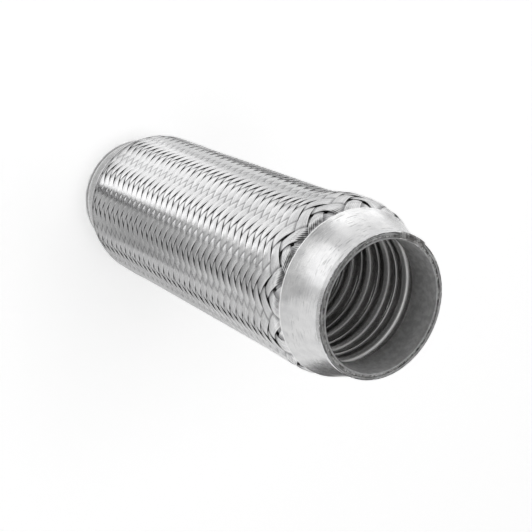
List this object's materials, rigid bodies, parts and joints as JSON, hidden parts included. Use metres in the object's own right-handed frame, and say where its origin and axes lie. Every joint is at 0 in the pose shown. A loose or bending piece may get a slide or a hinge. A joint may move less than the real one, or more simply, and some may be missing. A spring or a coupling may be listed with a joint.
{
  "type": "exhaust flex pipe",
  "caption": "Straight flexible exhaust coupling: a convoluted steel tube under a woven wire braid, held at both ends by flared steel collars with open round cuffs.",
  "frame": {"origin": "centre of the far mouth, on the plane of its rim: the pipe stands on that rim", "axes": "+Z along the pipe's axis, from the far mouth up to the near mouth; -Y is the side that faces the camera in the picture"},
  "size_m": [0.0715, 0.0715, 0.2007],
  "materials": {
    "bellows_steel": "smooth bright sheet",
    "braid_wire": "bright drawn wire",
    "cap_steel": "satin drawn sheet",
    "weld_metal": "rough bead, slightly dull"
  },
  "bodies": {
    "root": {"bellows": "bellows_steel", "outer_braid": "braid_wire", "near_end_cap": "cap_steel", "far_end_cap": "cap_steel", "near_rim_weld": "weld_metal", "far_rim_weld": "weld_metal"}
  },
  "joints": []
}
